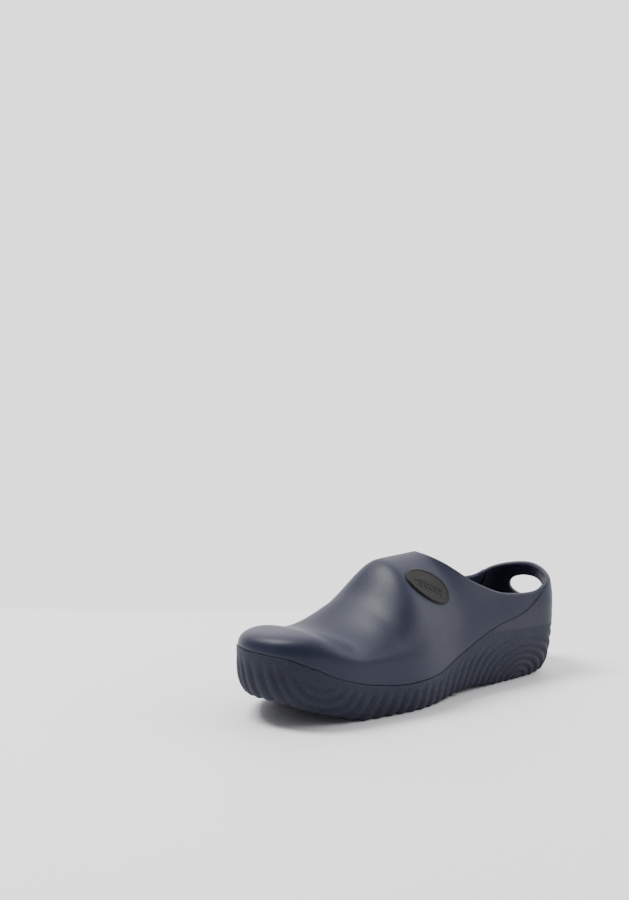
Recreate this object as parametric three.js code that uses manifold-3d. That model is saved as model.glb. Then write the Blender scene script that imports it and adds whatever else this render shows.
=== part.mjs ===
// Rubber garden clog, left foot. Millimetres, +Z up, toe towards -Y, outer (lateral) side towards +X.
// The upper, with its skirt, is let into the wall of the sole unit; a badge lies in a shallow recess
// of the upper, and a loose footbed of two layers lies on the seat inside the sole unit.
import * as THREE from 'three';
import { ParametricGeometry } from 'three/addons/geometries/ParametricGeometry.js';
import { mergeVertices } from 'three/addons/utils/BufferGeometryUtils.js';
import Module from 'manifold-3d';

const wasm = await Module();
wasm.setup();

// ---- driving dimensions ----
const LENGTH = 270;          // outer length of an EU 38-39 clog
const WALL = 4.5;            // wall of the upper and of the sole unit's cup
const STEP = 0.6;            // how far the sole wall stands proud of the upper at the seam
const SKIRT_FACE = 2.4;      // depth below the outer surface at which the skirt is let in
const SKIRT_DEPTH = 10;      // how far the skirt reaches below the seam
const SKIRT_CLEAR = 1.5;     // the skirt stays this far above the seat
const GAP = 0.3;             // air between pieces that touch
const SEAT_CHAMFER = { inward: 3, up: 2 };                        // corner of the seat inside the cup
const CORE_T = 4.5;          // footbed foam
const COVER_T = 1.2;         // footbed cloth
const COVER_EDGE = 0.4;      // bevel of the footbed's edges
const HOLE = { halfWidth: 19.5, halfHeight: 8.4, z: 56, cut: 60 };  // oval hole through the heel wall
const BADGE = { length: 38.5, width: 26, proud: 1.5, sunk: 1.2, cut: 40 };
const BADGE_PLACE = {
  centre: new THREE.Vector3(25, 7, 82),
  normal: new THREE.Vector3(0.74, 0.08, 0.67),
  along: new THREE.Vector3(0.31, 0.82, -0.48),
};
const SUPER = 0.999;         // the loft stops just short of the section's crown
const STEPS = 4;             // columns between two outline points

// Plan outline at the widest level: x of the lateral and the medial side at each station in y.
const HALF = LENGTH / 2;
const STATIONS = [-130, -116, -90, -55, -20, 20, 60, 95, 118, 130];
const LATERAL = [19, 35, 45.5, 50, 52, 43, 38, 36, 33, 18];
const MEDIAL = [-20, -36, -50.5, -52, -48, -38.5, -36.5, -38, -34, -21];
const TIP_X = -2;            // toe tip and heel back lie a little towards the medial side
const RIDGE_X = -8;          // so does the ridge of the instep
const TOE_POLE = -107;       // the sections fan round these two points of the ridge line
const HEEL_POLE = 98;

/** A smooth curve through [y, value] knots that never overshoots them. */
function profile(knots) {
  const n = knots.length;
  const h = knots.slice(1).map(([y], i) => y - knots[i][0]);
  const slope = h.map((d, i) => (knots[i + 1][1] - knots[i][1]) / d);
  const tangent = knots.map((_, i) => {
    if (i === 0) return slope[0];
    if (i === n - 1) return slope[n - 2];
    if (slope[i - 1] * slope[i] <= 0) return 0;
    return 2 / (1 / slope[i - 1] + 1 / slope[i]);
  });
  return (at) => {
    const y = THREE.MathUtils.clamp(at, knots[0][0], knots[n - 1][0]);
    const i = Math.min(n - 2, Math.max(0, knots.findIndex((k) => k[0] > y) - 1));
    const last = y >= knots[n - 1][0];
    const j = last ? n - 2 : i;
    const t = (y - knots[j][0]) / h[j];
    const a = (1 + 2 * t) * (1 - t) ** 2 * knots[j][1] + t * t * (3 - 2 * t) * knots[j + 1][1];
    return a + h[j] * (t * (1 - t) ** 2 * tangent[j] - t * t * (1 - t) * tangent[j + 1]);
  };
}

// Heights along the shoe.
const tread = profile([[-128, 17.5], [-112, 12.5], [-97, 8], [-80, 2.8], [-62, 0], [-8, 0], [35, 3],
  [68, 0], [100, 0], [115, 2], [128, 6.5]]);
const widest = profile([[-135, 39.5], [-60, 40.5], [20, 31.5], [80, 44.5], [135, 55]]);
const seam = profile([[-135, 51.5], [-125, 49.8], [-110, 42.8], [-92, 34], [-64, 25.5], [-33, 21.5],
  [-8, 22.5], [23, 32], [61, 44.8], [83, 49], [96, 54], [116, 69.5], [135, 90]]);
const ridge = profile([[-135, 62.5], [-104, 62.5], [-72, 55.5], [-40, 72], [-10, 97], [15, 98],
  [23, 98.4], [60, 147]]);
const topline = profile([[12, 102.5], [25, 97], [50, 77], [75, 66.5], [100, 64], [120, 70], [135, 76.5]]);
const seat = profile([[-135, 25], [-100, 18], [-60, 14], [-10, 15], [35, 22], [75, 28], [135, 30]]);
// Shape of the cross-sections.
const treadInset = profile([[-135, 8.6], [-60, 5.6], [20, 6.2], [80, 6.9], [135, 8.7]]);
const sidePower = profile([[-135, 5], [-90, 3.4], [-50, 2.45], [0, 2.25], [60, 1.9]]);
const crownPower = profile([[-135, 5], [-90, 3.3], [-50, 2.1], [0, 1.8], [60, 1.6]]);
const bell = profile([[-135, 0], [-90, 0.05], [-50, 0.2], [0, 0.15], [60, 0.45]]);
const TOE_TILT = { slope: 0.1, from: -105, to: -65 };   // the top of the toes rises to the outer side
const LEAN = { by: 18, at: 50 };                        // the quarters lean inwards, squared with height
const PEAK_Y = 12;           // the collar's peak; behind it the section turns into two leaning walls
const PEAK_BLEND = 60;
const HEADROOM = 15;         // the uncut blank stands this far above the topline
const EDGE_POWER = 2.6;      // roundness of the tread's edge

const outline = new THREE.CatmullRomCurve3([
  new THREE.Vector3(TIP_X, -HALF, 0),
  ...STATIONS.map((y, i) => new THREE.Vector3(LATERAL[i], y, 0)),
  new THREE.Vector3(TIP_X, HALF, 0),
  ...STATIONS.map((y, i) => new THREE.Vector3(MEDIAL[i], y, 0)).reverse(),
], true, 'catmullrom', 0.5);
const COLUMNS = 2 * (STATIONS.length + 1) * STEPS;

/** One column of the shell: its foot on the outline moved in by off, and its inward direction. */
function column(s, off) {
  const foot = outline.getPoint(s % 1);
  const along = outline.getTangent(s % 1);
  const y = foot.y;
  foot.add(new THREE.Vector3(-along.y, along.x, 0).multiplyScalar(off));
  const pole = new THREE.Vector3(RIDGE_X, THREE.MathUtils.clamp(y, TOE_POLE, HEEL_POLE), 0);
  const inward = pole.clone().sub(foot);
  const reach = inward.length();
  inward.normalize();
  return { foot, y, pole, inward, reach };
}

/** How far the wall draws in at a height below the widest level. */
function drawIn(y, z) {
  const c = THREE.MathUtils.clamp((widest(y) - z) / (widest(y) - tread(y)), 0, 1);
  return treadInset(y) * (1 - Math.sqrt(1 - c ** EDGE_POWER));
}

/** A point of the wall below the widest level. */
function wallPoint(s, off, z, extra = 0) {
  const c = column(s, off);
  const p = c.foot.addScaledVector(c.inward, drawIn(c.y, z(c.y)) + extra);
  p.z = z(p.y);
  return p;
}

/** Height share of the section at angle a, from 0 at the widest level to 1 at the crown. */
function rise(y, a) {
  const xi = Math.cos(a) ** (2 / sidePower(y));
  return (1 - bell(y)) * Math.sin(a) ** (2 / crownPower(y)) + bell(y) * (1 + Math.cos(Math.PI * xi)) / 2;
}

/** A point of the wall above the widest level, t = 0 at that level and 1 at the crown or the blank's top. */
function crownPoint(s, off, t) {
  const c = column(s, off);
  const low = widest(c.y);
  const span = ridge(c.pole.y) - off - low;
  const limit = c.y > PEAK_Y ? Math.min(1, (topline(c.y) + HEADROOM - low) / span) : 1;
  let [lo, hi] = [0, Math.PI / 2];
  const HALVINGS = 40;
  for (let i = 0; i < HALVINGS; i += 1) {
    const mid = (lo + hi) / 2;
    if (rise(c.y, mid) < limit) lo = mid;
    else hi = mid;
  }
  const a = t * Math.min(lo, SUPER * Math.PI / 2);
  const z = low + span * rise(c.y, a);
  const b = THREE.MathUtils.smoothstep(c.y, PEAK_Y, PEAK_Y + PEAK_BLEND);
  const dome = Math.cos(a) ** (2 / sidePower(c.y));
  const wall = 1 - LEAN.by * ((z - low) / LEAN.at) ** 2 / c.reach;
  const p = c.pole.clone().lerp(c.foot, (1 - b) * dome + b * wall);
  const tilt = TOE_TILT.slope * (1 - THREE.MathUtils.smoothstep(c.y, TOE_TILT.from, TOE_TILT.to));
  p.z = z + tilt * rise(c.y, a) * (p.x - RIDGE_X);
  return p;
}

/** A closed loft through rows of points; the first and the last row close on the line midway across. */
function loft(rows) {
  const close = (row) => (s) => row(s).add(row(1 - s)).multiplyScalar(0.5);
  const all = [close(rows[0]), ...rows, close(rows[rows.length - 1])];
  const geometry = new ParametricGeometry((s, t, target) => {
    const row = all[Math.round(t * (all.length - 1))];
    const turn = Math.round(s * COLUMNS) % COLUMNS;
    target.copy(row(turn / COLUMNS));
  }, COLUMNS, all.length - 1);
  return solid(geometry);
}

/** Six times the volume inside the triangles, negative where they face inwards. */
function signedVolume(position, triVerts) {
  const corner = (i) => new THREE.Vector3().fromBufferAttribute(position, triVerts[i]);
  let sum = 0;
  for (let i = 0; i < triVerts.length; i += 3) {
    sum += corner(i).dot(corner(i + 1).cross(corner(i + 2)));
  }
  return sum;
}

/** A closed three.js geometry as a solid with its faces pointing out. */
function solid(source) {
  const bare = source.index ? source : mergeVertices(source);
  bare.deleteAttribute('normal');
  bare.deleteAttribute('uv');
  const merged = mergeVertices(bare, 1e-4);
  const old = merged.index.array;
  const triVerts = [];
  for (let i = 0; i < old.length; i += 3) {
    const [a, b, c] = [old[i], old[i + 1], old[i + 2]];
    if (a !== b && b !== c && c !== a) triVerts.push(a, b, c);
  }
  if (signedVolume(merged.attributes.position, triVerts) < 0) triVerts.reverse();
  return new wasm.Manifold(new wasm.Mesh({
    numProp: 3,
    vertProperties: new Float32Array(merged.attributes.position.array),
    triVerts: new Uint32Array(triVerts),
  }));
}

/** The whole shell without its opening, off millimetres inside the outer surface, down to floor(y). */
function blank(off, floor, chamfer = { inward: 0, up: 0 }) {
  const rows = [];
  if (chamfer.inward > 0) rows.push((s) => wallPoint(s, off, floor, chamfer.inward));
  for (const share of [0, 0.1, 0.3, 0.6]) {
    const level = (y) => THREE.MathUtils.lerp(floor(y) + chamfer.up, widest(y), share);
    rows.push((s) => wallPoint(s, off, level));
  }
  for (const t of [0, 0.15, 0.3, 0.45, 0.6, 0.75, 0.87, 0.95]) {
    rows.push((s) => crownPoint(s, off, t));
  }
  return loft(rows);
}

/** The space above a curve z = level(y), right across the shoe. */
function above(level, from = -HALF - 15, to = HALF + 15) {
  const REACH = 80;
  const TOP = 200;
  const PIECES = 45;
  const side = new THREE.Shape();
  side.moveTo(to, TOP);
  side.lineTo(from, TOP);
  for (let i = 0; i <= PIECES; i += 1) {
    const y = from + (to - from) * i / PIECES;
    side.lineTo(y, level(y));
  }
  side.closePath();
  const prism = new THREE.ExtrudeGeometry(side, { depth: 2 * REACH, bevelEnabled: false });
  // The shape is drawn in (y, z); this turns it so that it runs along x.
  const turn = new THREE.Matrix4().makeBasis(
    new THREE.Vector3(0, 1, 0), new THREE.Vector3(0, 0, 1), new THREE.Vector3(1, 0, 0));
  prism.applyMatrix4(turn);
  prism.translate(-REACH, 0, 0);
  return solid(prism);
}

/** An oval bar centred on a point, with its axis along a normal and its long side nearest to along. */
function ovalBar(halfLong, halfShort, depth, centre, normal, along) {
  const SIDES = 40;
  const bar = new THREE.CylinderGeometry(1, 1, depth, SIDES);
  bar.scale(halfLong, 1, halfShort);
  const z = normal.clone().normalize();
  const x = along.clone().addScaledVector(z, -along.dot(z)).normalize();
  const y = z.clone().cross(x);
  bar.applyMatrix4(new THREE.Matrix4().makeBasis(x, z, y.negate()));
  bar.translate(centre.x, centre.y, centre.z);
  return solid(bar);
}

const skirtFoot = (y) => Math.max(seam(y) - SKIRT_DEPTH, seat(y) + SKIRT_CLEAR);
const skirtHead = (y) => seam(y) + WALL;
const opening = above(topline, PEAK_Y);
const cavity = blank(WALL, seat, SEAT_CHAMFER);
const heelHole = ovalBar(HOLE.halfWidth, HOLE.halfHeight, HOLE.cut, new THREE.Vector3(TIP_X, HALF, HOLE.z),
  new THREE.Vector3(0, 1, 0), new THREE.Vector3(1, 0, 0));

/** The badge's oval bar, grown by extra all round. */
function badgeBar(extra) {
  const { centre, normal, along } = BADGE_PLACE;
  return ovalBar(BADGE.length / 2 + extra, BADGE.width / 2 + extra, BADGE.cut, centre, normal, along);
}

/** The upper with its skirt, its opening and the badge's recess. */
function makeUpper() {
  const shell = blank(STEP, tread).intersect(above((y) => seam(y) + GAP / 2));
  const skirt = blank(SKIRT_FACE + GAP / 2, tread).intersect(above(skirtFoot)).subtract(above(skirtHead));
  const recess = badgeBar(GAP).subtract(blank(STEP + BADGE.sunk + GAP, tread));
  return shell.add(skirt).subtract(cavity).subtract(opening).subtract(recess);
}

/** The sole unit with the rebate for the skirt and the heel hole. */
function makeSole() {
  const wall = blank(0, tread).subtract(above((y) => seam(y) - GAP / 2));
  const rebate = blank(SKIRT_FACE - GAP / 2, tread).intersect(above((y) => skirtFoot(y) - GAP));
  return wall.subtract(rebate).subtract(cavity).subtract(opening).subtract(heelHole);
}

/** The badge, which follows the upper's curve. */
function makeBadge() {
  return badgeBar(0).intersect(blank(STEP - BADGE.proud, tread)).subtract(blank(STEP + BADGE.sunk, tread));
}

/** Side clearance of the footbed: snug round the toes, free enough behind to be lifted out by the heel. */
const footbedGap = profile([[-135, 0.6], [-40, 0.8], [20, 2.2], [135, 2.6]]);

/** One layer of the footbed, from bottom above the seat, with a chamfer under and a bevel on top. */
function footbedLayer(bottom, thick, chamfer) {
  const side = (inset, up) => (s) => {
    const gap = footbedGap(outline.getPoint(s % 1).y);
    return wallPoint(s, WALL + gap, (y) => seat(y) + bottom + up, inset);
  };
  return loft([
    side(chamfer.inward, 0),
    side(0, chamfer.up),
    side(0, thick - COVER_EDGE),
    side(2 * COVER_EDGE, thick),
  ]);
}

/** A named mesh of one moulded or cut piece. */
function piece(name, body, colour, roughness) {
  const { vertProperties, triVerts } = body.getMesh();
  const geometry = new THREE.BufferGeometry();
  geometry.setAttribute('position', new THREE.BufferAttribute(new Float32Array(vertProperties), 3));
  geometry.setIndex(new THREE.BufferAttribute(new Uint32Array(triVerts), 1));
  geometry.computeVertexNormals();
  const mesh = new THREE.Mesh(geometry, new THREE.MeshStandardMaterial({
    color: colour, roughness, metalness: 0,
  }));
  mesh.name = name;
  return mesh;
}

const clog = new THREE.Group();
clog.name = 'garden_clog';
clog.add(piece('sole_unit', makeSole(), 0x262c3f, 0.62));
clog.add(piece('upper_shell', makeUpper(), 0x2b3249, 0.45));
clog.add(piece('side_badge', makeBadge(), 0x242424, 0.7));
clog.add(piece('footbed_core', footbedLayer(GAP, CORE_T, SEAT_CHAMFER), 0x1d2130, 0.9));
const coverEdge = { inward: COVER_EDGE, up: COVER_EDGE };
clog.add(piece('footbed_cover', footbedLayer(2 * GAP + CORE_T, COVER_T, coverEdge), 0x171a24, 0.95));

export default clog;
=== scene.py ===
"""Rubber garden clog: upper, sole unit with its wave relief, badge and loose footbed.

Sizes are millimetres in the clog's own frame (+Z up, toe towards -Y, outer side towards +X) and
become metres where a mesh is made.
"""

import logging
import math
from dataclasses import dataclass, field
from enum import Enum

import bpy
import numpy as np
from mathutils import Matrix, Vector


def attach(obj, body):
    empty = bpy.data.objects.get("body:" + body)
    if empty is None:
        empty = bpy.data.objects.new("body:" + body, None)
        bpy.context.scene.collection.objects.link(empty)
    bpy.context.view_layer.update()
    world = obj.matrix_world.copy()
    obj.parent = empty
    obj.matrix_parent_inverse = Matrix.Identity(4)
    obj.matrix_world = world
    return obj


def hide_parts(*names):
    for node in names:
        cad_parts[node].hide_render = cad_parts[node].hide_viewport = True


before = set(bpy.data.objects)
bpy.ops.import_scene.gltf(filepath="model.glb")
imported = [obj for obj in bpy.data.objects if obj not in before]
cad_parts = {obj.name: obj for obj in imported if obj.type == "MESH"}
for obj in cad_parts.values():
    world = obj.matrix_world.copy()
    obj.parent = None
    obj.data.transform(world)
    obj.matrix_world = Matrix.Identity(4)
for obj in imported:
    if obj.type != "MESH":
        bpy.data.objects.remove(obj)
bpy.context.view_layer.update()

MM = 0.001
WELD = 2e-6                   # points nearer than this become one, in metres
LOG = logging.getLogger("clog")

Array = np.ndarray
Colour = tuple[float, float, float]
Value = float | tuple | bpy.types.NodeSocket


# ---------------------------------------------------------------- form of the clog

class Profile:
    """A smooth curve through (position, value) knots that never overshoots them."""

    def __init__(self, *knots: tuple[float, float]) -> None:
        """Work out the slope at each knot.

        Args:
            knots: Positions in rising order, each with its value.
        """
        self.at, self.value = np.array(knots, float).T
        self.step = np.diff(self.at)
        slope = np.diff(self.value) / self.step
        both = slope[:-1] * slope[1:]
        total = np.where(both > 0, slope[:-1] + slope[1:], 1.0)
        inner = np.where(both > 0, 2 * both / total, 0.0)
        self.slope = np.concatenate([slope[:1], inner, slope[-1:]])

    def __call__(self, position: Array) -> Array:
        """Return the curve's value at each position.

        Args:
            position: Places along the curve.

        Returns:
            The values.
        """
        y = np.clip(position, self.at[0], self.at[-1])
        i = np.clip(np.searchsorted(self.at, y, side="right") - 1, 0, len(self.step) - 1)
        h = self.step[i]
        t = (y - self.at[i]) / h
        ends = (1 + 2 * t) * (1 - t) ** 2 * self.value[i] + t * t * (3 - 2 * t) * self.value[i + 1]
        return ends + h * (t * (1 - t) ** 2 * self.slope[i] - t * t * (1 - t) * self.slope[i + 1])


def smoothstep(low: float, high: float, x: Array) -> Array:
    """Return 0 below low, 1 above high and a smooth rise between them."""
    t = np.clip((x - low) / (high - low), 0.0, 1.0)
    return t * t * (3 - 2 * t)


STATIONS = (-130, -116, -90, -55, -20, 20, 60, 95, 118, 130)
LATERAL = (19, 35, 45.5, 50, 52, 43, 38, 36, 33, 18)
MEDIAL = (-20, -36, -50.5, -52, -48, -38.5, -36.5, -38, -34, -21)


@dataclass(frozen=True)
class Last:
    """The clog's outer form: plan outline, sections and the levels along it.

    A point of the form is named by its place round the outline, sigma, and its place up the wall, q.
    Sigma is 0 at the toe tip, rises to 0.5 along the outer side and falls to -0.5 along the inner side.
    Q is -1 at the tread edge, 0 at the widest level and 1 at the crown.
    """

    half: float = 135.0
    tip_x: float = -2.0
    ridge_x: float = -8.0
    toe_pole: float = -107.0
    heel_pole: float = 98.0
    lean: float = 18.0
    peak_y: float = 12.0
    peak_blend: float = 60.0
    edge_power: float = 2.6
    toe_tilt: float = 0.1
    toe_reach: tuple[float, float] = (-105.0, -65.0)
    tread: Profile = Profile((-128, 17.5), (-112, 12.5), (-97, 8), (-80, 2.8), (-62, 0), (-8, 0),
                             (35, 3), (68, 0), (100, 0), (115, 2), (128, 6.5))
    widest: Profile = Profile((-135, 39.5), (-60, 40.5), (20, 31.5), (80, 44.5), (135, 55))
    seam: Profile = Profile((-135, 51.5), (-125, 49.8), (-110, 42.8), (-92, 34), (-64, 25.5), (-33, 21.5),
                            (-8, 22.5), (23, 32), (61, 44.8), (83, 49), (96, 54), (116, 69.5), (135, 90))
    ridge: Profile = Profile((-135, 62.5), (-104, 62.5), (-72, 55.5), (-40, 72), (-10, 97), (15, 98),
                             (23, 98.4), (60, 147))
    topline: Profile = Profile((12, 102.5), (25, 97), (50, 77), (75, 66.5), (100, 64), (120, 70),
                               (135, 76.5))
    seat: Profile = Profile((-135, 25), (-100, 18), (-60, 14), (-10, 15), (35, 22), (75, 28), (135, 30))
    tread_inset: Profile = Profile((-135, 8.6), (-60, 5.6), (20, 6.2), (80, 6.9), (135, 8.7))
    side_power: Profile = Profile((-135, 5), (-90, 3.4), (-50, 2.45), (0, 2.25), (60, 1.9))
    crown_power: Profile = Profile((-135, 5), (-90, 3.3), (-50, 2.1), (0, 1.8), (60, 1.6))
    bell: Profile = Profile((-135, 0), (-90, 0.05), (-50, 0.2), (0, 0.15), (60, 0.45))

    def outline(self, sigma: Array) -> tuple[Array, Array]:
        """Return the plan outline and its unit tangent.

        Args:
            sigma: Places round the outline.

        Returns:
            Points and tangents, each with x and y in its last axis.
        """
        outer = list(zip(LATERAL, STATIONS))
        inner = list(zip(MEDIAL, STATIONS))[::-1]
        knots = np.array([(self.tip_x, -self.half), *outer, (self.tip_x, self.half), *inner], float)
        count = len(knots)
        turn = np.mod(np.asarray(sigma, float), 1.0) * count
        i = np.floor(turn).astype(int)
        t = (turn - i)[..., None]
        p0, p1, p2, p3 = (knots[(i + k) % count] for k in (-1, 0, 1, 2))
        m0, m1 = (p2 - p0) / 2, (p3 - p1) / 2
        c2, c3 = 3 * (p2 - p1) - 2 * m0 - m1, 2 * (p1 - p2) + m0 + m1
        point = p1 + t * (m0 + t * (c2 + t * c3))
        along = m0 + t * (2 * c2 + 3 * t * c3)
        return point, along / np.linalg.norm(along, axis=-1, keepdims=True)

    def band(self, y: Array) -> Array:
        """Return the height of the patterned band, from the tread edge to the seam."""
        return self.seam(y) - self.tread(y)

    def at(self, sigma: Array, q: Array, depth: Array) -> Array:
        """Return points of the form.

        Args:
            sigma: Places round the outline.
            q: Places up the wall.
            depth: How far the points lie inside the outer surface.

        Returns:
            Points in millimetres, x, y and z in the last axis.
        """
        sigma, q, depth = np.broadcast_arrays(sigma, q, depth)
        edge, along = self.outline(sigma)
        y = edge[..., 1]
        foot = edge + np.stack([-along[..., 1], along[..., 0]], -1) * depth[..., None]
        pole = np.stack([np.full(y.shape, self.ridge_x), np.clip(y, self.toe_pole, self.heel_pole)], -1)
        inward = pole - foot
        reach = np.linalg.norm(inward, axis=-1)
        inward = inward / reach[..., None]
        low, sole = self.widest(y), self.tread(y)

        tuck = np.clip(-q, 0, 1) * math.pi / 2
        draw = self.tread_inset(y) * (1 - np.cos(tuck))
        z_low = low - np.sin(tuck) ** (2 / self.edge_power) * (low - sole)

        a = np.clip(q, 0, 0.9995) * math.pi / 2
        share = np.cos(a) ** (2 / self.side_power(y))
        bell = self.bell(y)
        rise = (1 - bell) * np.sin(a) ** (2 / self.crown_power(y)) + bell * (1 + np.cos(math.pi * share)) / 2
        z_high = low + (self.ridge(pole[..., 1]) - depth - low) * rise
        blend = smoothstep(self.peak_y, self.peak_y + self.peak_blend, y)
        wall = 1 - self.lean * ((z_high - low) / 50) ** 2 / reach
        out = (1 - blend) * share + blend * wall

        below = (q < 0)[..., None]
        plan = np.where(below, foot + inward * draw[..., None], pole + (foot - pole) * out[..., None])
        tilt = self.toe_tilt * (1 - smoothstep(*self.toe_reach, y)) * rise
        z = np.where(q < 0, z_low, z_high + tilt * (plan[..., 0] - self.ridge_x))
        return np.concatenate([plan, z[..., None]], -1)


class Side(Enum):
    """The two sides of the clog."""

    OUTER = 1
    INNER = -1


class Chart:
    """Lengths measured up the wall and round the outline, for placing rows and patterns."""

    COLUMNS = 1201
    ROWS = 361

    def __init__(self, last: Last, depth: float) -> None:
        """Measure the form.

        Args:
            last: The form that is measured.
            depth: Depth below the outer surface at which it is measured.
        """
        self.last = last
        self.sigma = np.linspace(-0.5, 0.5, self.COLUMNS)
        self.q = np.linspace(-1, 1, self.ROWS)
        self.points = last.at(self.sigma[:, None], self.q[None, :], depth)
        step = np.linalg.norm(np.diff(self.points, axis=1), axis=-1)
        length = np.concatenate([np.zeros((self.COLUMNS, 1)), np.cumsum(step, axis=1)], axis=1)
        self.length = length - length[:, [self.ROWS // 2]]
        edge, _ = last.outline(self.sigma)
        around = np.concatenate([[0], np.cumsum(np.linalg.norm(np.diff(edge, axis=0), axis=1))])
        self.around = around - np.interp(0, self.sigma, around)
        self.edge_y = edge[:, 1]

    def arc(self, sigma: Array) -> Array:
        """Return the signed length round the outline from the toe tip."""
        return np.interp(sigma, self.sigma, self.around)

    def sigma_at_arc(self, arc: Array) -> Array:
        """Return the place round the outline at a signed length from the toe tip."""
        return np.interp(arc, self.around, self.sigma)

    def on(self, table: Array, sigma: Array) -> Array:
        """Return a table's value at places round the outline."""
        return np.interp(sigma, self.sigma, table)

    def sigma_at_y(self, y: Array, side: Side) -> Array:
        """Return the place on one side whose outline point has this y.

        Args:
            y: Places along the clog.
            side: The side.

        Returns:
            Places round the outline.
        """
        mask = self.sigma * side.value >= 0
        s, edge = self.sigma[mask][::side.value], self.edge_y[mask][::side.value]
        return np.interp(y, edge, s)

    def _between(self, sigma: Array, table: Array) -> Array:
        """Return the table's rows at these places, weighted between the nearest two columns.

        Args:
            sigma: Places round the outline.
            table: A row of values for each measured column.

        Returns:
            A row of values for each place.
        """
        x = np.clip((np.asarray(sigma) + 0.5) * (self.COLUMNS - 1), 0, self.COLUMNS - 1)
        i = np.minimum(x.astype(int), self.COLUMNS - 2)
        f = (x - i)[:, None]
        return (1 - f) * table[i] + f * table[i + 1]

    @staticmethod
    def _solve(rows: Array, target: Array, values: Array) -> Array:
        """Return, row by row, the value where a rising row reaches its target.

        Args:
            rows: Rising values.
            target: The target of each row.
            values: What is wanted, at the rows' own places.

        Returns:
            One value for each row.
        """
        i = np.clip((rows < target[:, None]).sum(1), 1, rows.shape[1] - 1)
        n = np.arange(len(rows))
        low, high = rows[n, i - 1], rows[n, i]
        f = np.clip((target - low) / np.maximum(high - low, 1e-9), 0, 1)
        return values[n, i - 1] + f * (values[n, i] - values[n, i - 1])

    def q_at_length(self, sigma: Array, length: Array) -> Array:
        """Return the place up the wall at a length above the widest level.

        Args:
            sigma: Places round the outline.
            length: Lengths up the wall.

        Returns:
            Places up the wall.
        """
        sigma, length = np.broadcast_arrays(sigma, length)
        flat = sigma.ravel()
        rows = self._between(flat, self.length)
        values = np.broadcast_to(self.q, rows.shape)
        return self._solve(rows, length.ravel(), values).reshape(sigma.shape)

    def length_at(self, sigma: Array, level: Profile, start: float = -1e9) -> Array:
        """Return the length up the wall at which each column meets a level.

        Args:
            sigma: Places round the outline.
            level: The level's height along the clog.
            start: Columns before this y have no such level and are given their full length.

        Returns:
            The lengths.
        """
        gap = self.points[..., 2] - level(self.points[..., 1])
        first = np.argmax(gap > 0, axis=1)
        none = (gap.max(axis=1) <= 0) | (self.edge_y < start)
        n = np.arange(self.COLUMNS)
        first = np.maximum(first, 1)
        low, high = gap[n, first - 1], gap[n, first]
        f = np.clip(-low / np.maximum(high - low, 1e-9), 0, 1)
        met = self.length[n, first - 1] * (1 - f) + self.length[n, first] * f
        met = np.where(none, self.length[:, -1], met)
        return np.interp(sigma, self.sigma, met)

    def q_at_height(self, sigma: Array, z: Array) -> Array:
        """Return the place up the wall at a height.

        Args:
            sigma: Places round the outline.
            z: Heights.

        Returns:
            Places up the wall.
        """
        sigma, z = np.broadcast_arrays(sigma, z)
        rows = self._between(sigma.ravel(), self.points[..., 2])
        values = np.broadcast_to(self.q, rows.shape)
        return self._solve(rows, z.ravel(), values).reshape(sigma.shape)


# ---------------------------------------------------------------- mesh work

def deselect() -> None:
    """Leave nothing selected."""
    bpy.ops.object.select_all(action="DESELECT")


def grid_patch(name: str, points: Array, fields: dict[str, Array] | None = None) -> bpy.types.Object:
    """Lay a grid primitive over rows of points.

    Args:
        name: The object's name.
        points: Rows and columns of points in millimetres.
        fields: Values for each point, by attribute name.

    Returns:
        The new object.
    """
    rows, columns = points.shape[:2]
    deselect()
    bpy.ops.mesh.primitive_grid_add(x_subdivisions=columns - 1, y_subdivisions=rows - 1, size=1)
    patch = bpy.context.object
    patch.name = name
    patch.data.name = name
    patch.data.vertices.foreach_set("co", (points.reshape(-1, 3) * MM).astype(np.float32).ravel())
    for key, values in (fields or {}).items():
        attribute = patch.data.attributes.new(key, "FLOAT", "POINT")
        spread = np.broadcast_to(values, points.shape[:2]).astype(np.float32)
        attribute.data.foreach_set("value", spread.ravel())
    patch.data.update()
    return patch


def weld(name: str, patches: list[bpy.types.Object], smooth: float = 180.0) -> bpy.types.Object:
    """Join patches into one closed shell with its faces pointing out.

    Args:
        name: The piece's name.
        patches: Patches whose edges meet.
        smooth: Edges sharper than this angle in degrees stay sharp.

    Returns:
        The joined piece.
    """
    deselect()
    for patch in patches:
        patch.select_set(True)
    bpy.context.view_layer.objects.active = patches[0]
    if len(patches) > 1:
        bpy.ops.object.join()
    piece = bpy.context.object
    piece.name = name
    piece.data.name = name
    bpy.ops.object.mode_set(mode="EDIT")
    bpy.ops.mesh.select_all(action="SELECT")
    bpy.ops.mesh.remove_doubles(threshold=WELD)
    bpy.ops.mesh.select_all(action="SELECT")
    bpy.ops.mesh.fill_holes(sides=0)
    bpy.ops.mesh.select_all(action="SELECT")
    bpy.ops.mesh.delete_loose()
    bpy.ops.mesh.select_all(action="SELECT")
    bpy.ops.mesh.normals_make_consistent(inside=False)
    bpy.ops.object.mode_set(mode="OBJECT")
    if smooth < 180:
        bpy.ops.object.shade_smooth_by_angle(angle=math.radians(smooth))
    else:
        bpy.ops.object.shade_smooth()
    return piece


def surface_normals(points: Array, closed: bool) -> Array:
    """Return unit normals of a grid of points, along the cross product of column and row steps.

    Args:
        points: Rows and columns of points.
        closed: Whether the last column repeats the first.

    Returns:
        The unit normals.
    """
    across = np.gradient(points, axis=1)
    if closed:
        across[:, 0] = across[:, -1] = (points[:, 1] - points[:, -2]) / 2
    down = np.gradient(points, axis=0)
    normal = np.cross(across, down)
    return normal / np.maximum(np.linalg.norm(normal, axis=-1, keepdims=True), 1e-9)


# ---------------------------------------------------------------- finishes

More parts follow.
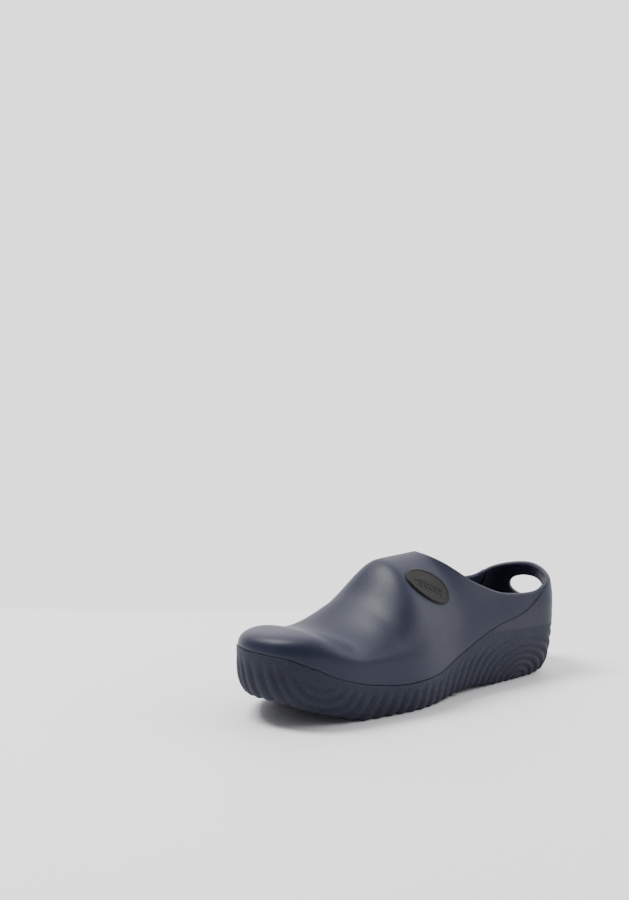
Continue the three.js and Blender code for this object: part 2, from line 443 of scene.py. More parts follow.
class Tree:
    """A material's or group's node tree with short ways to add and join nodes."""

    def __init__(self, tree: bpy.types.NodeTree) -> None:
        """Hold an empty tree."""
        self.tree = tree

    def add(self, kind: str, inputs: dict | None = None, **settings: object) -> bpy.types.Node:
        """Add a node.

        Args:
            kind: The node's type name.
            inputs: Values or sockets by input name or number.
            settings: The node's own properties.

        Returns:
            The new node.
        """
        node = self.tree.nodes.new(kind)
        for key, value in settings.items():
            setattr(node, key, value)
        for key, value in (inputs or {}).items():
            if isinstance(value, bpy.types.NodeSocket):
                self.tree.links.new(value, node.inputs[key])
            else:
                node.inputs[key].default_value = value
        return node

    def math(self, operation: str, a: Value, b: Value = 0.0, c: Value = 0.0,
             clamp: bool = False) -> bpy.types.NodeSocket:
        """Return the result of a math node on numbers or sockets."""
        node = self.add("ShaderNodeMath", {0: a, 1: b, 2: c}, operation=operation, use_clamp=clamp)
        return node.outputs[0]

    def mix(self, factor: Value, a: Value, b: Value) -> bpy.types.NodeSocket:
        """Return two colours mixed by a factor."""
        node = self.add("ShaderNodeMix", {0: factor, 6: a, 7: b}, data_type="RGBA")
        return node.outputs[2]

    def noise(self, where: Value, scale: float, detail: float = 2.0,
              rough: float = 0.5) -> bpy.types.NodeSocket:
        """Return noise from 0 to 1 at a scale in waves per metre."""
        node = self.add("ShaderNodeTexNoise", {"Vector": where, "Scale": scale, "Detail": detail,
                                               "Roughness": rough})
        return node.outputs["Fac"]

    def ramp(self, value: Value, low: float, high: float) -> bpy.types.NodeSocket:
        """Return 0 to 1 as a value goes smoothly from low to high."""
        node = self.add("ShaderNodeMapRange", {"Value": value, "From Min": low, "From Max": high},
                        interpolation_type="SMOOTHSTEP")
        return node.outputs["Result"]

    def place(self) -> bpy.types.NodeSocket:
        """Return the Object coordinates."""
        return self.add("ShaderNodeTexCoord").outputs["Object"]

    def field(self, name: str) -> bpy.types.NodeSocket:
        """Return a point attribute's value."""
        return self.add("ShaderNodeAttribute", attribute_name=name).outputs["Fac"]


def rgba(colour: Colour) -> tuple[float, float, float, float]:
    """Return a colour with full alpha."""
    return (*colour, 1.0)


def new_group(name: str, inputs: list[tuple], outputs: list[tuple]) -> tuple[Tree, dict, dict]:
    """Start a shader node group.

    Args:
        name: The group's name.
        inputs: Socket names with their kind and default value.
        outputs: Socket names with their kind.

    Returns:
        The group's tree, its input sockets by name and its output node's sockets by name.
    """
    group = bpy.data.node_groups.new(name, "ShaderNodeTree")
    for label, kind, value in inputs:
        socket = group.interface.new_socket(label, in_out="INPUT", socket_type=kind)
        if value is not None:
            socket.default_value = value
    for label, kind in outputs:
        group.interface.new_socket(label, in_out="OUTPUT", socket_type=kind)
    tree = Tree(group)
    start, end = tree.add("NodeGroupInput"), tree.add("NodeGroupOutput")
    return tree, {s.name: s for s in start.outputs}, {s.name: s for s in end.inputs}


def grain_group() -> bpy.types.NodeTree:
    """Build the moulded grain: fine pebbles with broader unevenness.

    Returns:
        A group that puts out a height and a mask of the pebbles' hollows.
    """
    tree, into, out = new_group(
        "moulded_grain",
        [("Vector", "NodeSocketVector", None), ("Pebbles", "NodeSocketFloat", 900.0),
         ("Waves", "NodeSocketFloat", 60.0), ("Coarseness", "NodeSocketFloat", 0.35)],
        [("Height", "NodeSocketFloat"), ("Hollows", "NodeSocketFloat")])
    warp = tree.add("ShaderNodeTexNoise", {"Vector": into["Vector"], "Scale": 420.0, "Detail": 2.0})
    pushed = tree.add("ShaderNodeVectorMath", {0: warp.outputs["Color"], 1: (0.0009,) * 3, 2: into["Vector"]},
                      operation="MULTIPLY_ADD")
    cells = tree.add("ShaderNodeTexVoronoi", {"Vector": pushed.outputs[0], "Scale": into["Pebbles"],
                                              "Smoothness": 0.6}, feature="SMOOTH_F1")
    fine = tree.noise(into["Vector"], 2600.0, 3.0, 0.6)
    broad = tree.noise(into["Vector"], 60.0, 2.0)
    tree.tree.links.new(into["Waves"], broad.node.inputs["Scale"])
    hollows = tree.ramp(cells.outputs["Distance"], 0.25, 0.75)
    pebbles = tree.math("MULTIPLY", hollows, -1.0)
    with_fine = tree.math("MULTIPLY_ADD", fine, into["Coarseness"], pebbles)
    height = tree.math("MULTIPLY_ADD", broad, 0.6, with_fine)
    tree.tree.links.new(height, out["Height"])
    tree.tree.links.new(hollows, out["Hollows"])
    return tree.tree


def wear_group() -> bpy.types.NodeTree:
    """Build the handling marks: a soft mottle, a few fine scuffs and settled dust.

    Returns:
        A group that puts out a mottle, scuffs and dust, each from 0 to 1.
    """
    tree, into, out = new_group(
        "handling", [("Vector", "NodeSocketVector", None), ("Scuff Amount", "NodeSocketFloat", 0.3)],
        [("Mottle", "NodeSocketFloat"), ("Scuffs", "NodeSocketFloat"), ("Dust", "NodeSocketFloat")])
    mottle = tree.noise(into["Vector"], 28.0, 4.0, 0.55)
    stretched = tree.add("ShaderNodeMapping", {"Vector": into["Vector"], "Rotation": (0.4, 0.2, 0.7),
                                               "Scale": (1.0, 0.09, 1.0)})
    lines = tree.noise(stretched.outputs[0], 900.0, 3.0, 0.7)
    patches = tree.noise(into["Vector"], 40.0, 2.0)
    scuffs = tree.math("MULTIPLY", tree.ramp(lines, 0.66, 0.74), tree.ramp(patches, 0.52, 0.66))
    scuffs = tree.math("MULTIPLY", scuffs, into["Scuff Amount"])
    specks = tree.noise(into["Vector"], 1500.0, 2.0, 0.6)
    dust = tree.ramp(specks, 0.70, 0.78)
    for name, value in (("Mottle", mottle), ("Scuffs", scuffs), ("Dust", dust)):
        tree.tree.links.new(value, out[name])
    return tree.tree


@dataclass(frozen=True)
class Finish:
    """A finish of one moulded or woven material."""

    name: str
    base: Colour
    shade: Colour
    roughness: float
    grain_scale: float
    grain_depth: float
    specular: float = 0.3
    sheen: float = 0.0

    def build(self, groups: dict[str, bpy.types.NodeTree]) -> bpy.types.Material:
        """Make the finish's material.

        Args:
            groups: The shared node groups by name.

        Returns:
            The material.
        """
        material = bpy.data.materials.new(self.name)
        material.use_nodes = True
        material.node_tree.nodes.clear()
        tree = Tree(material.node_tree)
        where = tree.place()
        grain = tree.add("ShaderNodeGroup", {}, node_tree=groups["grain"])
        wear = tree.add("ShaderNodeGroup", {}, node_tree=groups["wear"])
        for group in (grain, wear):
            tree.tree.links.new(where, group.inputs["Vector"])
        grain.inputs["Pebbles"].default_value = self.grain_scale
        colour, rough, height = self.surface(tree, where, grain, wear)
        bump = tree.add("ShaderNodeBump", {"Strength": 1.0, "Distance": self.grain_depth, "Height": height})
        shader = tree.add("ShaderNodeBsdfPrincipled", {
            "Base Color": colour, "Roughness": rough, "Normal": bump.outputs[0],
            "Specular IOR Level": self.specular, "Sheen Weight": self.sheen})
        tree.add("ShaderNodeOutputMaterial", {"Surface": shader.outputs[0]})
        return material

    def surface(self, tree: Tree, where: bpy.types.NodeSocket, grain: bpy.types.Node,
                wear: bpy.types.Node) -> tuple:
        """Return the colour, roughness and height of a smooth moulded surface.

        Args:
            tree: The material's tree.
            where: The Object coordinates; not used.
            grain: The grain group's node.
            wear: The wear group's node.

        Returns:
            Sockets for colour, roughness and height.
        """
        mottle = tree.ramp(wear.outputs["Mottle"], 0.3, 0.7)
        colour = tree.mix(mottle, rgba(self.base), rgba(self.shade))
        lighter = tuple(min(1.0, 2.2 * c + 0.03) for c in self.base)
        dust = tree.math("MULTIPLY", wear.outputs["Dust"], 0.12)
        marks = tree.math("MAXIMUM", wear.outputs["Scuffs"], dust)
        colour = tree.mix(marks, colour, rgba(lighter))
        rough = tree.math("MULTIPLY_ADD", mottle, 0.06, self.roughness - 0.03)
        rough = tree.math("MULTIPLY_ADD", wear.outputs["Scuffs"], 0.2, rough)
        return colour, rough, grain.outputs["Height"]


@dataclass(frozen=True)
class MouldedSole(Finish):
    """The sole's finish: grained below a line round the heel, smooth above it, with painted shade in its
    grooves and in the grain's hollows.
    """

    # Painted shade: the colour that the grooves and the grain's hollows are darkened towards.
    painted_groove_shade: Colour = (0.012, 0.015, 0.026)

    def surface(self, tree: Tree, where: bpy.types.NodeSocket, grain: bpy.types.Node,
                wear: bpy.types.Node) -> tuple:
        """Return the colour, roughness and height of the grained, ribbed wall.

        Args:
            tree: The material's tree.
            where: The Object coordinates; not used.
            grain: The grain group's node.
            wear: The wear group's node.

        Returns:
            Sockets for colour, roughness and height.
        """
        grained = tree.field("grained")
        groove = tree.field("groove")
        mottle = tree.ramp(wear.outputs["Mottle"], 0.3, 0.7)
        colour = tree.mix(mottle, rgba(self.base), rgba(self.shade))
        # Painted shade: the colour is darkened in the grain's hollows and, by the groove attribute's depth,
        # in the ribs' grooves.
        pits = tree.math("MULTIPLY", grain.outputs["Hollows"], grained)
        dark = tree.math("MULTIPLY_ADD", pits, 0.35, tree.math("MULTIPLY", groove, 0.75), clamp=True)
        colour = tree.mix(dark, colour, rgba(self.painted_groove_shade))
        lighter = tuple(min(1.0, 2.0 * c + 0.03) for c in self.base)
        marks = tree.math("MAXIMUM", wear.outputs["Scuffs"], tree.math("MULTIPLY", wear.outputs["Dust"], 0.2))
        colour = tree.mix(marks, colour, rgba(lighter))
        rough = tree.math("MULTIPLY_ADD", grained, 0.16, self.roughness)
        height = tree.math("MULTIPLY", grain.outputs["Height"],
                           tree.math("MULTIPLY_ADD", grained, 0.93, 0.07))
        return colour, rough, height


@dataclass(frozen=True)
class Woven(Finish):
    """A knitted lining cloth."""

    pitch: float = 0.0011

    def surface(self, tree: Tree, where: bpy.types.NodeSocket, grain: bpy.types.Node,
                wear: bpy.types.Node) -> tuple:
        """Return the colour, roughness and height of the knit, with painted shade in its low parts.

        Args:
            tree: The material's tree.
            where: The Object coordinates.
            grain: The grain group's node.
            wear: The wear group's node.

        Returns:
            Sockets for colour, roughness and height.
        """
        parts = tree.add("ShaderNodeSeparateXYZ", {0: where}).outputs
        turn = 2 * math.pi / self.pitch
        wales = tree.math("SINE", tree.math("MULTIPLY", parts[0], turn))
        straight = tree.math("MULTIPLY", parts[1], turn)
        shifted = tree.math("MULTIPLY_ADD", tree.math("ABSOLUTE", wales), 0.9, straight)
        courses = tree.math("SINE", shifted)
        knit = tree.math("MULTIPLY_ADD", wales, 0.5, tree.math("MULTIPLY", courses, 0.5))
        height = tree.math("MULTIPLY_ADD", grain.outputs["Height"], 0.3, knit)
        mottle = tree.ramp(wear.outputs["Mottle"], 0.25, 0.75)
        colour = tree.mix(mottle, rgba(self.base), rgba(self.shade))
        # Painted shade: the knit's low parts take the darker shade colour.
        colour = tree.mix(tree.ramp(knit, -0.6, 0.7), rgba(self.shade), colour)
        rough = tree.math("MULTIPLY_ADD", knit, 0.03, self.roughness)
        return colour, rough, height


UPPER_RUBBER = Finish("upper_rubber", (0.0095, 0.0125, 0.030), (0.0115, 0.015, 0.034), 0.45, 1300.0, 0.00004)
SOLE_RUBBER = MouldedSole("sole_rubber", (0.012, 0.0145, 0.030), (0.015, 0.018, 0.034), 0.48, 1000.0, 0.00022)
BADGE_RUBBER = Finish("badge", (0.008, 0.0077, 0.0077), (0.011, 0.010, 0.010), 0.55, 1500.0, 0.00006,
                      specular=0.2)
FOOTBED_FOAM = Finish("footbed_foam", (0.020, 0.023, 0.036), (0.026, 0.029, 0.044), 0.85, 700.0, 0.00025)
FOOTBED_CLOTH = Woven("footbed_cloth", (0.016, 0.019, 0.032), (0.011, 0.013, 0.023), 0.9, 800.0, 0.00018,
                      sheen=0.15)


# ---------------------------------------------------------------- sub-assemblies

@dataclass
class Relief:
    """The wave pattern of the sole: arcs that hang or stand on four centres, joined by ribs."""

    chart: Chart
    groove: float = 1.15
    arch_stretch: float = 1.35
    hang_height: float = 29.0
    join_height: float = 12.0
    highest: float = 38.0
    stand_height: float = 1.0
    hang: Profile = Profile((0, -1.4), (11.5, 0), (19, 1), (27, 2), (34, 3), (42.5, 4), (52, 5), (61, 6),
                            (69.5, 7), (300, 33.5))
    stand: Profile = Profile((0, 0), (45, 9), (50.5, 10), (56, 11), (62.5, 12), (69, 13), (300, 48))
    loop: float = field(init=False)
    centres: tuple[float, float, float, float] = field(init=False)

    def __post_init__(self) -> None:
        """Find the loop's length and the four centres on it."""
        chart = self.chart
        self.loop = chart.around[-1] - chart.around[0]
        toe_out = chart.arc(chart.sigma_at_y(-105.0, Side.OUTER))
        heel_out = chart.arc(chart.sigma_at_y(86.0, Side.OUTER))
        heel_in = self.loop + chart.arc(chart.sigma_at_y(84.0, Side.INNER))
        toe_in = self.loop + chart.arc(chart.sigma_at_y(-76.0, Side.INNER))
        self.centres = (float(toe_out), float(heel_out), float(heel_in), float(toe_in))

    def _hanging(self, across: Array, height: Array) -> Array:
        """Return the wave count of arcs that hang below a centre."""
        return self.hang(np.hypot(across, height - self.hang_height))

    def _standing(self, across: Array, height: Array) -> Array:
        """Return the wave count of arcs that stand over a centre."""
        return -self.stand(np.hypot(across / self.arch_stretch, height - self.stand_height))

    def waves(self, around: Array, height: Array) -> Array:
        """Return the wave count over the wall, a whole number in the middle of each groove.

        Args:
            around: Length round the outline from the toe tip by way of the outer side.
            height: Height above the tread edge.

        Returns:
            The wave count.
        """
        a, b, c, d = self.centres
        ends = [(a, self._hanging), (b, self._standing), (c, self._hanging), (d, self._standing),
                (a + self.loop, self._hanging)]
        offset = 0.0
        pieces = []
        for (start, first), (stop, second) in zip(ends, ends[1:]):
            middle = np.array((start + stop) / 2)
            low = np.array(self.join_height)
            gap = first(middle - start, low) + offset - second(middle - stop, low)
            pieces.append((start, stop, first, second, offset, float(gap)))
            offset = float(gap)
        slack = offset - round(offset)
        out = np.zeros_like(around)
        place = np.mod(around - a, self.loop) + a
        for start, stop, first, second, before, after in pieces:
            mask = (place >= start) & (place <= stop)
            x, h = place[mask], height[mask]
            share = smoothstep(start + 0.25 * (stop - start), start + 0.75 * (stop - start), x)
            value = (1 - share) * (first(x - start, h) + before) + share * (second(x - stop, h) + after)
            out[mask] = value
        whole = np.mod(around - a, self.loop) / self.loop
        return out - slack * whole

    def depth(self, around: Array, height: Array, band: Array) -> Array:
        """Return how far the surface is cut in.

        Args:
            around: Length round the outline from the toe tip by way of the outer side.
            height: Height above the tread edge.
            band: Height of the patterned band at each place.

        Returns:
            The depths of the cut.
        """
        wave = self.waves(around, height)
        trough = (0.5 + 0.5 * np.cos(2 * math.pi * wave)) ** 1.7
        reach = np.minimum(band, self.highest)
        fade = 1 - smoothstep(0.55, 0.95, height / reach)
        a, _, c, _ = self.centres
        for centre in (a, c):
            across = np.mod(around - centre + self.loop / 2, self.loop) - self.loop / 2
            fade = fade * smoothstep(6.0, 14.0, np.hypot(across, height - self.hang_height))
        return self.groove * trough * fade


def run_share(line: Array) -> Array:
    """Return the share of a line's length that is run at each of its points."""
    run = np.concatenate([[0], np.cumsum(np.linalg.norm(np.diff(line, axis=0), axis=1))])
    return run / run[-1]


@dataclass
class Upper:
    """The upper: one moulded shell with a rounded rim and a skirt let into the sole unit."""

    last: Last
    inset: float = 0.6
    wall: float = 4.5
    skirt_depth: float = 2.55
    skirt_length: float = 8.8
    columns: int = 320
    rows: int = 66
    rim_rows: int = 9
    inner_rows: int = 30
    border_points: int = 1500
    seam_points: int = 2000
    chart: Chart = field(init=False)
    peak: float = field(init=False)

    def __post_init__(self) -> None:
        """Measure the upper's outer surface and find the collar's peak."""
        self.chart = Chart(self.last, self.inset)
        y = np.linspace(self.last.peak_y, 40, 2801)
        gap = self.last.ridge(y) - self.inset - self.last.topline(y)
        self.peak = float(np.interp(0.0, gap, y))
        chart = self.chart
        self._rim_length = chart.length_at(chart.sigma, self.last.topline, start=self.peak)
        self._seam_length = chart.length_at(chart.sigma, self.last.seam)
        q = chart.q_at_length(chart.sigma, self._rim_length)
        x = self.last.at(chart.sigma, q, self.inset)[:, 0]
        half = np.where(chart.edge_y > self.peak, np.abs(x - self.last.ridge_x), 0.0)
        self._full = self._rim_length + half

    def _flat(self, sigma: Array, length: Array) -> Array:
        """Return the place in the unrolled plane of a point that lies a length up the wall.

        Args:
            sigma: Places round the outline.
            length: Lengths up the wall.

        Returns:
            Points of the plane.
        """
        edge, _ = self.last.outline(sigma)
        away = self.chart.on(self._full, sigma) - length
        y = np.maximum(edge[..., 1], self.last.toe_pole)
        pole = np.stack([np.zeros_like(y), y], -1)
        ahead = edge - np.stack([np.full_like(y, self.last.ridge_x), y], -1)
        ahead[..., 1] = np.where(edge[..., 1] < self.last.toe_pole, ahead[..., 1], 0.0)
        ahead = ahead / np.linalg.norm(ahead, axis=-1, keepdims=True)
        return pole + ahead * away[..., None]

    def _unflat(self, place: Array) -> tuple[Array, Array]:
        """Return sigma and the length up the wall of points in the unrolled plane.

        Args:
            place: Points of the plane.

        Returns:
            Places round the outline and lengths up the wall.
        """
        x, y = place[..., 0], place[..., 1]
        chart, pole = self.chart, self.last.toe_pole
        fan = chart.edge_y < pole
        edge, _ = self.last.outline(chart.sigma[fan])
        bearing = np.arctan2(edge[:, 0] - self.last.ridge_x, pole - edge[:, 1])
        in_fan = np.interp(np.arctan2(x, pole - y), bearing, chart.sigma[fan])
        outer = chart.sigma_at_y(y, Side.OUTER)
        inner = chart.sigma_at_y(y, Side.INNER)
        sigma = np.where(y < pole, in_fan, np.where(x >= 0, outer, inner))
        away = np.where(y < pole, np.hypot(x, y - pole), np.abs(x))
        return sigma, self.chart.on(self._full, sigma) - away

    def _border(self, side: Side, table: Array, start: float, end: float) -> tuple[Array, Array]:
        """Return one side's border in the unrolled plane with its running length, from the rear forwards.

        Args:
            side: The side.
            table: The border's length up the wall at each measured column.
            start: The y at which it starts, at the rear.
            end: The y at which it ends.

        Returns:
            Its points and the share of its length run at each.
        """
        share = np.linspace(0, 1, self.border_points) ** 2
        y = end + (start - end) * share[::-1]
        sigma = self.chart.sigma_at_y(y, side)
        place = self._flat(sigma, self.chart.on(table, sigma))
        away = np.abs(place[..., 0])
        place[..., 0] = away * side.value
        return place, run_share(place)

    def _seam_border(self, side: Side, start: float) -> tuple[Array, Array]:
        """Return one side's seam in the unrolled plane, from the rear to the toe tip.

        Args:
            side: The side.
            start: The y at which it starts, at the rear.

        Returns:
            Its points and the share of its length run at each.
        """
        sigma = np.linspace(float(self.chart.sigma_at_y(start, side)), 0.0, self.seam_points)
        place = self._flat(sigma, self.chart.on(self._seam_length, sigma))
        return place, run_share(place)

    def _rear_end(self) -> float:
        """Return the y at which the quarters run out between rim and seam.

        Returns:
            The y.
        """
        y = np.linspace(90, 130, 801)
        sigma = self.chart.sigma_at_y(y, Side.OUTER)
        height = self.chart.on(self._rim_length - self._seam_length, sigma)
        return float(np.interp(-0.8, -height, y))

    def build(self) -> bpy.types.Object:
        """Build the shell.

        Returns:
            The upper as one closed mesh.
        """
        rear = self._rear_end()
        half = self.columns // 2
        along = np.linspace(0, 1, half + 1)
        to_rim = Profile((0, 0), (0.3, 0.70), (0.6, 0.90), (1, 1))
        rims, seams = [], []
        for side in Side:
            rim, rim_run = self._border(side, self._rim_length, rear, self.peak)
            seam, seam_run = self._seam_border(side, rear)
            rims.append(np.stack([np.interp(to_rim(along), rim_run, rim[:, k]) for k in (0, 1)], -1))
            seams.append(np.stack([np.interp(along, seam_run, seam[:, k]) for k in (0, 1)], -1))
        rim = np.concatenate([rims[0], rims[1][-2::-1]])
        seam = np.concatenate([seams[0], seams[1][-2::-1]])
        span = np.linalg.norm(seam - rim, axis=-1)
        thick = (self.wall - self.inset) / 2
        radius = np.minimum(thick, 0.45 * span)

        def rows(share: Array) -> tuple[Array, Array]:
            """Return sigma and length for rows at a share of the way from the rim to the seam."""
            return self._unflat(rim[None] + (seam - rim)[None] * share[..., None])

        first = (radius / span)[None]
        out_share = 1 - (1 - first) * np.linspace(0, 1, self.rows)[:, None]
        turn = np.linspace(0, math.pi, self.rim_rows + 2)[1:-1, None]
        rim_share = (radius * (1 - np.sin(turn))) / span
        in_share = first + (1 - first) * np.linspace(0, 1, self.inner_rows)[:, None]
        shares = np.concatenate([out_share, rim_share, in_share])
        depths = np.concatenate([
            np.full((self.rows, 1), self.inset),
            self.inset + thick * (1 - np.cos(turn)),
            np.full((self.inner_rows, 1), self.wall)])
        sigma, length = rows(shares)
        drop = np.minimum(self.skirt_length, 2 * span)
        foot_sigma, foot_length = sigma[-1], length[-1]
        skirt = [(0.5, self.wall), (1.0, self.wall), (1.0, self.skirt_depth), (0.5, self.skirt_depth),
                 (0.0, self.skirt_depth), (0.0, self.inset)]
        sigma = np.concatenate([sigma] + [foot_sigma[None]] * len(skirt))
        length = np.concatenate([length] + [(foot_length - drop * part)[None] for part, _ in skirt])
        depths = np.concatenate([depths] + [np.full((1, 1), d) for _, d in skirt])
        q = self.chart.q_at_length(sigma, length)
        points = self.last.at(sigma, q, np.broadcast_to(depths, q.shape))
        return weld("upper_shell_skin", [grid_patch("upper_patch", points)])


@dataclass
class SoleUnit:
    """The sole unit: ribbed wall, tread, rebate for the upper and the heel strap with its oval hole."""

    last: Last
    wall: float = 4.5
    rebate: float = 2.25
    rebate_drop: float = 9.0
    bevel: float = 0.8
    hole_half_width: float = 20.8
    hole_half_height: float = 8.4
    hole_z: float = 56.0
    hole_edge: float = 1.6
    columns: int = 580
    rows: int = 84
    inner_rows: int = 44
    tread_rows: int = 34
    seat_rows: int = 12
    tread_depth: float = 1.6
    tread_pitch: float = 8.5
    hole_columns: int = 31
    hole_above: float = 12.2
    hole_patch: float = 24.0
    chart: Chart = field(init=False)

    def __post_init__(self) -> None:
        """Measure the outer surface and the levels of the lip and of the upper's end."""
        self.chart = Chart(self.last, 0.0)
        chart = self.chart
        self._seam = chart.length_at(chart.sigma, self.last.seam)
        self._rim = chart.length_at(chart.sigma, self.last.topline, start=self.last.peak_y + 8)
        self._foot = chart.length_at(chart.sigma, self.last.seat)

    def _grain(self, points: Array) -> Array:
        """Return where the wall is grained: everywhere but on the smooth band of the heel.

        Args:
            points: Points of the wall.

        Returns:
            1 where it is grained and 0 where it is smooth.
        """
        border = Profile((30, 70), (42, 52), (55, 43), (115, 37.5), (135, 36.5))
        x, y, z = np.moveaxis(points, -1, 0)
        ragged = 0.5 * np.sin(0.9 * x + 0.7 * y) * np.sin(0.31 * y)
        return smoothstep(-0.6, 0.6, border(y) + ragged - z)

    def _lip(self, strap: Array) -> tuple[Array, Array]:
        """Return depth and drop of the lip's rows, between a rebate's lip and a round rim.

        Args:
            strap: 0 where the upper is let in and 1 on the heel strap, for each column.

        Returns:
            The depths and the drops, by row and column.
        """
        b = self.bevel
        seam = np.array([(0, b), (0.04 * b, 0.55 * b), (0.25 * b, 0.2 * b), (0.55 * b, 0.04 * b), (b, 0),
                         (1.3, 0), (self.rebate, 0), (self.rebate, 0.4), (self.rebate, 4.5),
                         (self.rebate, self.rebate_drop), (self.wall, self.rebate_drop + 0.3)])
        turn = np.linspace(0, math.pi, len(seam))
        half = self.wall / 2
        rim = np.stack([half * (1 - np.cos(turn)), half * (1 - np.sin(turn))], -1)
        mixed = seam[:, None] * (1 - strap[None, :, None]) + rim[:, None] * strap[None, :, None]
        return mixed[..., 0], mixed[..., 1]

    def build(self) -> bpy.types.Object:
        """Build the sole unit.

        Returns:
            The sole unit as one closed mesh.
        """
        chart, last = self.chart, self.last
        half = self.columns // 2
        arcs = np.linspace(0, chart.around[-1], half + 1)
        outer = chart.sigma_at_arc(arcs)
        sigma = np.concatenate([outer, -outer[-2::-1]])
        seam, rim = self.chart.on(self._seam, sigma), self.chart.on(self._rim, sigma)
        edge, _ = last.outline(sigma)
        behind = edge[:, 1] > 60
        top = np.where(behind, np.minimum(seam, rim), seam)
        strap = np.where(behind, 1 - smoothstep(0.0, 2.5, rim - seam), 0.0)

        depth, drop = self._lip(strap)
        lip_length = top[None] - drop
        lip = last.at(sigma[None], chart.q_at_length(np.broadcast_to(sigma, drop.shape), lip_length), depth)

        share = np.linspace(0, 1, self.rows)[:, None]
        share = 0.85 * share + 0.15 * smoothstep(-1, 1, 2 * share - 1)
        start, end = lip_length[0], self.chart.on(chart.length[:, 0], sigma)
        out_length = start + (end - start) * share
        out_q = chart.q_at_length(np.broadcast_to(sigma, out_length.shape), out_length)
        wall = last.at(sigma[None], out_q, 0.0)

        relief = Relief(chart)
        around = np.broadcast_to(np.mod(chart.arc(sigma), relief.loop), out_q.shape).copy()
        around[:, -1] = relief.loop
        height = wall[..., 2] - last.tread(wall[..., 1])
        band = last.band(wall[..., 1])
        cut = relief.depth(around, height, band)
        normal = surface_normals(wall, closed=True)
        outward = np.sign((normal[self.rows // 2, 0] * np.array([0, -1, 0])).sum())
        ribbed = wall - normal * outward * cut[..., None]
        # How deep each point lies in a groove; the sole's material paints shade into the grooves from it.
        groove = cut / relief.groove

        inner_share = np.linspace(0, 1, self.inner_rows)[:, None]
        floor = self.chart.on(self._foot, sigma)
        in_length = lip_length[-1] + (floor - lip_length[-1]) * inner_share
        in_q = chart.q_at_length(np.broadcast_to(sigma, in_length.shape), in_length)
        inside = last.at(sigma[None], in_q, self.wall)

        block = self._hole_block(sigma, wall, inside)
        patches = self._walls(ribbed, inside, groove, block)
        patches += self._hole(sigma, ribbed, inside, block)
        patches.append(grid_patch("lip", lip, {"groove": 0.0, "grained": self._grain(lip) * 0.3}))
        patches.append(self._tread(ribbed[-1], wall[-1], cut[-1], half))
        patches.append(self._floor(inside[-1], half))
        return weld("sole_unit_skin", patches)

    def _hole_block(self, sigma: Array, wall: Array, inside: Array) -> dict[str, int]:
        """Return the rows and columns of the rectangle that the hole's own patch fills.

        Args:
            sigma: Places round the outline.
            wall: The outer wall's points.
            inside: The inner wall's points.

        Returns:
            The rectangle's sides by name.
        """
        middle = len(sigma) // 2
        heights, inner = wall[:, middle, 2], inside[:, middle, 2]
        start = self.hole_z + self.hole_above
        count = int(round(self.hole_patch / abs(np.diff(heights)).mean()))
        return {"left": middle - self.hole_columns, "right": middle + self.hole_columns,
                "top": int(np.argmin(abs(heights - start))), "in_top": int(np.argmin(abs(inner - start))),
                "count": count}

    def _walls(self, ribbed: Array, inside: Array, groove: Array, block: dict[str, int]) -> list:
        """Return the outer and the inner wall round the hole's rectangle.

        Args:
            ribbed: The outer wall's points.
            inside: The inner wall's points.
            groove: How deep in a groove each outer point is.
            block: The hole's rectangle.

        Returns:
            The patches.
        """
        left, right = block["left"], block["right"]
        patches = []
        for label, points, top, fields in (
                ("outer", ribbed, block["top"], {"groove": groove, "grained": self._grain(ribbed)}),
                ("inner", inside, block["in_top"], {"groove": np.zeros(inside.shape[:2]),
                                                    "grained": np.zeros(inside.shape[:2])})):
            bottom = top + block["count"]
            cuts = {
                "a": (slice(None), slice(None, left + 1)),
                "b": (slice(None), slice(right, None)),
                "above": (slice(None, top + 1), slice(left, right + 1)),
                "below": (slice(bottom, None), slice(left, right + 1)),
            }
            for part, cut in cuts.items():
                chosen = points[cut]
                if min(chosen.shape[:2]) > 1:
                    shares = {k: v[cut] for k, v in fields.items()}
                    patches.append(grid_patch(f"{label}_{part}", chosen, shares))
        return patches

    def _ring(self, grid: Array, top: int, block: dict[str, int]) -> Array:
        """Return the rectangle's border values in order round it.

        Args:
            grid: Values by row and column.
            top: The rectangle's first row.
            block: The hole's rectangle.

        Returns:
            The values.
        """
        left, right, bottom = block["left"], block["right"], top + block["count"]
        return np.concatenate([
            grid[top, left:right], grid[top:bottom, right],
            grid[bottom, right:left:-1], grid[bottom:top:-1, left], grid[[top], left]])

    def _oval(self, angle: Array, grow: Array) -> tuple[Array, Array]:
        """Return the hole's outline round the heel and up, grown all round.

        Args:
            angle: Angles round the hole.
            grow: How far the outline is grown.

        Returns:
            Lengths round the heel, and heights.
        """
        power = 2 / 2.25
        c, s = np.cos(angle), np.sin(angle)
        across = np.sign(c) * abs(c) ** power * (self.hole_half_width + grow)
        up = np.sign(s) * abs(s) ** power * (self.hole_half_height + grow)
        return across, self.hole_z + up

